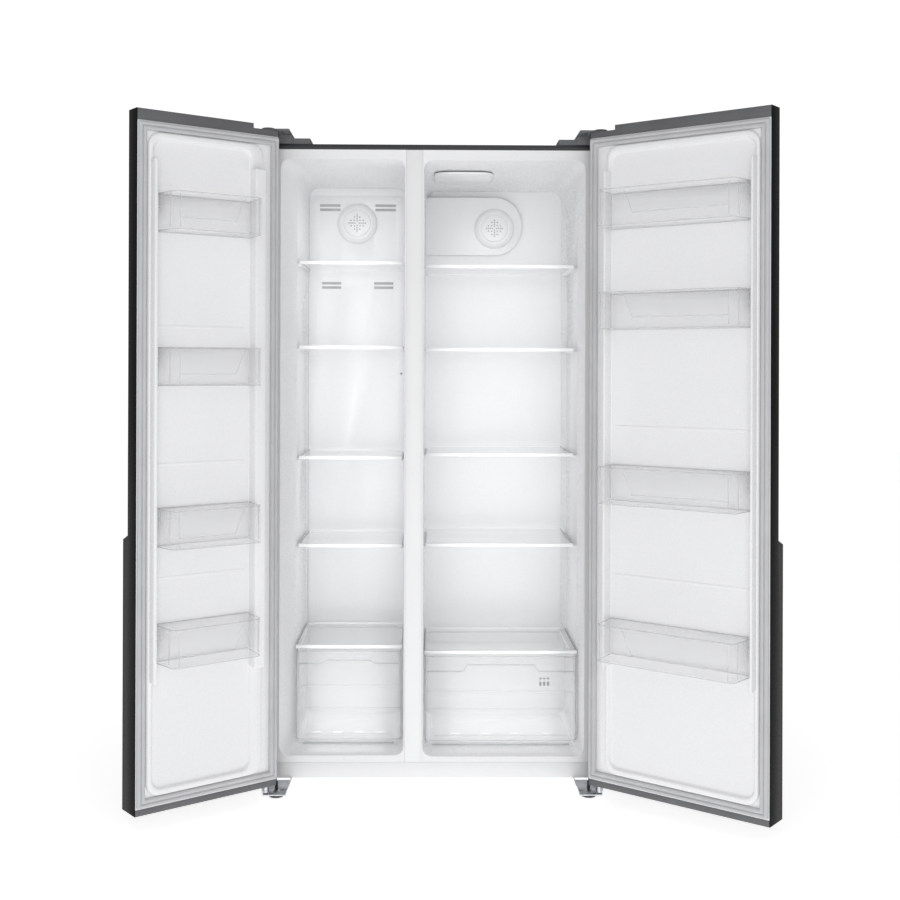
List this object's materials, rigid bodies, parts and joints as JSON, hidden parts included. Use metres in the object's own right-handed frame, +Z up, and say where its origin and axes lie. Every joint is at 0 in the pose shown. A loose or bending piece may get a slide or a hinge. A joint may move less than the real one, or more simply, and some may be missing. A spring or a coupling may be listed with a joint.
{
  "type": "side by side refrigerator",
  "caption": "Wide two-door refrigerator and freezer standing open, with glass shelves, clear drawers, clear door bins and hinged insulated doors.",
  "frame": {"origin": "middle of the footprint of the open refrigerator, on the floor", "axes": "+Z up, +Y from the doors to the cabinet's back, +X to the right for someone facing the open front"},
  "size_m": [1.6244, 1.0218, 1.778],
  "materials": {
    "grey_painted_steel": "satin",
    "galvanised_steel": "satin",
    "foam": "matte",
    "white_liner": "gloss",
    "white_trim": "satin",
    "dark_grey_plastic": "satin",
    "black_door_skin": "gloss",
    "grey_gasket": "matte",
    "shelf_glass": "polished",
    "clear_plastic": "gloss",
    "zinc_plate": "satin",
    "dark_foot": "matte",
    "copper_tube": "satin",
    "aluminium_tube": "satin",
    "black_machine_paint": "satin"
  },
  "bodies": {
    "cabinet": {"outer_wrap": "grey_painted_steel", "insulation_foam": "foam", "freezer_liner": "white_liner", "fridge_liner": "white_liner", "mullion_cover": "white_trim", "base_rail": "white_trim", "base_pan": "galvanised_steel", "back_panel": "galvanised_steel", "machine_cover": "black_machine_paint", "compressor": "black_machine_paint", "condenser": "copper_tube", "evaporator": "aluminium_tube", "evaporator_cover": "white_liner", "freezer_fan_cap": "white_trim", "fridge_duct_cover": "white_liner", "fridge_fan_cap": "white_trim", "fridge_lamp": "white_trim", "top_hinge_left": "zinc_plate", "hinge_cover_left": "dark_grey_plastic", "bottom_hinge_left": "zinc_plate", "top_hinge_right": "zinc_plate", "hinge_cover_right": "dark_grey_plastic", "bottom_hinge_right": "zinc_plate"},
    "freezer_door": {"freezer_door_panel": "black_door_skin", "freezer_door_top_cap": "dark_grey_plastic", "freezer_door_bottom_cap": "dark_grey_plastic", "freezer_door_core": "foam", "freezer_door_liner": "white_liner", "freezer_door_gasket": "grey_gasket"},
    "fridge_door": {"fridge_door_panel": "black_door_skin", "fridge_door_top_cap": "dark_grey_plastic", "fridge_door_bottom_cap": "dark_grey_plastic", "fridge_door_core": "foam", "fridge_door_liner": "white_liner", "fridge_door_gasket": "grey_gasket"},
    "evaporator_fan": {"evaporator_fan": "dark_grey_plastic"},
    "front_foot_left": {"front_foot_left": "dark_foot"},
    "rear_roller_left": {"rear_roller_left": "dark_foot"},
    "front_foot_right": {"front_foot_right": "dark_foot"},
    "rear_roller_right": {"rear_roller_right": "dark_foot"},
    "freezer_shelf_1": {"freezer_shelf_1": "shelf_glass"},
    "freezer_shelf_2": {"freezer_shelf_2": "shelf_glass"},
    "freezer_shelf_3": {"freezer_shelf_3": "shelf_glass"},
    "freezer_shelf_4": {"freezer_shelf_4": "shelf_glass"},
    "fridge_shelf_1": {"fridge_shelf_1": "shelf_glass"},
    "fridge_shelf_2": {"fridge_shelf_2": "shelf_glass"},
    "fridge_shelf_3": {"fridge_shelf_3": "shelf_glass"},
    "fridge_shelf_4": {"fridge_shelf_4": "shelf_glass"},
    "freezer_drawer_cover": {"freezer_drawer_cover": "shelf_glass"},
    "crisper_cover": {"crisper_cover": "shelf_glass"},
    "freezer_drawer": {"freezer_drawer": "clear_plastic"},
    "crisper_drawer": {"crisper_drawer": "clear_plastic"},
    "freezer_bin_1": {"freezer_bin_1": "clear_plastic"},
    "freezer_bin_2": {"freezer_bin_2": "clear_plastic"},
    "freezer_bin_3": {"freezer_bin_3": "clear_plastic"},
    "freezer_bin_4": {"freezer_bin_4": "clear_plastic"},
    "fridge_bin_1": {"fridge_bin_1": "clear_plastic"},
    "fridge_bin_2": {"fridge_bin_2": "clear_plastic"},
    "fridge_bin_3": {"fridge_bin_3": "clear_plastic"},
    "fridge_bin_4": {"fridge_bin_4": "clear_plastic"}
  },
  "joints": [
    {"name": "freezer_door_hinge", "type": "hinge", "parent": "cabinet", "child": "freezer_door", "pos_m": [-0.4812, -0.13163, 0.9], "axis": [0, 0, -1], "range_deg": [-142.8, 0]},
    {"name": "fridge_door_hinge", "type": "hinge", "parent": "cabinet", "child": "fridge_door", "pos_m": [0.4008, -0.13163, 0.9], "axis": [0, 0, 1], "range_deg": [-141.6, 0]},
    {"name": "freezer_drawer_slide", "type": "slide", "parent": "cabinet", "child": "freezer_drawer", "axis": [0, -1, 0], "range_m": [0, 0.25]},
    {"name": "crisper_drawer_slide", "type": "slide", "parent": "cabinet", "child": "crisper_drawer", "axis": [0, -1, 0], "range_m": [0, 0.25]},
    {"name": "freezer_shelf_1_slide", "type": "slide", "parent": "cabinet", "child": "freezer_shelf_1", "axis": [0, -1, 0], "range_m": [0, 0.3]},
    {"name": "freezer_shelf_2_slide", "type": "slide", "parent": "cabinet", "child": "freezer_shelf_2", "axis": [0, -1, 0], "range_m": [0, 0.3]},
    {"name": "freezer_shelf_3_slide", "type": "slide", "parent": "cabinet", "child": "freezer_shelf_3", "axis": [0, -1, 0], "range_m": [0, 0.3]},
    {"name": "freezer_shelf_4_slide", "type": "slide", "parent": "cabinet", "child": "freezer_shelf_4", "axis": [0, -1, 0], "range_m": [0, 0.3]},
    {"name": "fridge_shelf_1_slide", "type": "slide", "parent": "cabinet", "child": "fridge_shelf_1", "axis": [0, -1, 0], "range_m": [0, 0.3]},
    {"name": "fridge_shelf_2_slide", "type": "slide", "parent": "cabinet", "child": "fridge_shelf_2", "axis": [0, -1, 0], "range_m": [0, 0.3]},
    {"name": "fridge_shelf_3_slide", "type": "slide", "parent": "cabinet", "child": "fridge_shelf_3", "axis": [0, -1, 0], "range_m": [0, 0.3]},
    {"name": "fridge_shelf_4_slide", "type": "slide", "parent": "cabinet", "child": "fridge_shelf_4", "axis": [0, -1, 0], "range_m": [0, 0.3]},
    {"name": "freezer_drawer_cover_slide", "type": "slide", "parent": "cabinet", "child": "freezer_drawer_cover", "axis": [0, -1, 0], "range_m": [0, 0.3]},
    {"name": "crisper_cover_slide", "type": "slide", "parent": "cabinet", "child": "crisper_cover", "axis": [0, -1, 0], "range_m": [0, 0.3]},
    {"name": "freezer_bin_1_lift", "type": "slide", "parent": "freezer_door", "child": "freezer_bin_1", "axis": [0, 0, 1], "range_m": [0, 0.04]},
    {"name": "freezer_bin_2_lift", "type": "slide", "parent": "freezer_door", "child": "freezer_bin_2", "axis": [0, 0, 1], "range_m": [0, 0.04]},
    {"name": "freezer_bin_3_lift", "type": "slide", "parent": "freezer_door", "child": "freezer_bin_3", "axis": [0, 0, 1], "range_m": [0, 0.04]},
    {"name": "freezer_bin_4_lift", "type": "slide", "parent": "freezer_door", "child": "freezer_bin_4", "axis": [0, 0, 1], "range_m": [0, 0.04]},
    {"name": "fridge_bin_1_lift", "type": "slide", "parent": "fridge_door", "child": "fridge_bin_1", "axis": [0, 0, 1], "range_m": [0, 0.04]},
    {"name": "fridge_bin_2_lift", "type": "slide", "parent": "fridge_door", "child": "fridge_bin_2", "axis": [0, 0, 1], "range_m": [0, 0.04]},
    {"name": "fridge_bin_3_lift", "type": "slide", "parent": "fridge_door", "child": "fridge_bin_3", "axis": [0, 0, 1], "range_m": [0, 0.04]},
    {"name": "fridge_bin_4_lift", "type": "slide", "parent": "fridge_door", "child": "fridge_bin_4", "axis": [0, 0, 1], "range_m": [0, 0.04]},
    {"name": "front_foot_left_turn", "type": "hinge", "parent": "cabinet", "child": "front_foot_left", "pos_m": [-0.4572, -0.09963, 0.01], "axis": [0, 0, 1], "continuous": true},
    {"name": "rear_roller_left_spin", "type": "hinge", "parent": "cabinet", "child": "rear_roller_left", "pos_m": [-0.4402, 0.47237, 0.018], "axis": [1, 0, 0], "continuous": true},
    {"name": "front_foot_right_turn", "type": "hinge", "parent": "cabinet", "child": "front_foot_right", "pos_m": [0.3768, -0.09963, 0.01], "axis": [0, 0, 1], "continuous": true},
    {"name": "rear_roller_right_spin", "type": "hinge", "parent": "cabinet", "child": "rear_roller_right", "pos_m": [0.3598, 0.47237, 0.018], "axis": [1, 0, 0], "continuous": true},
    {"name": "evaporator_fan_spin", "type": "hinge", "parent": "cabinet", "child": "evaporator_fan", "pos_m": [-0.2725, 0.38237, 1.5787], "axis": [0, -1, 0], "continuous": true}
  ]
}
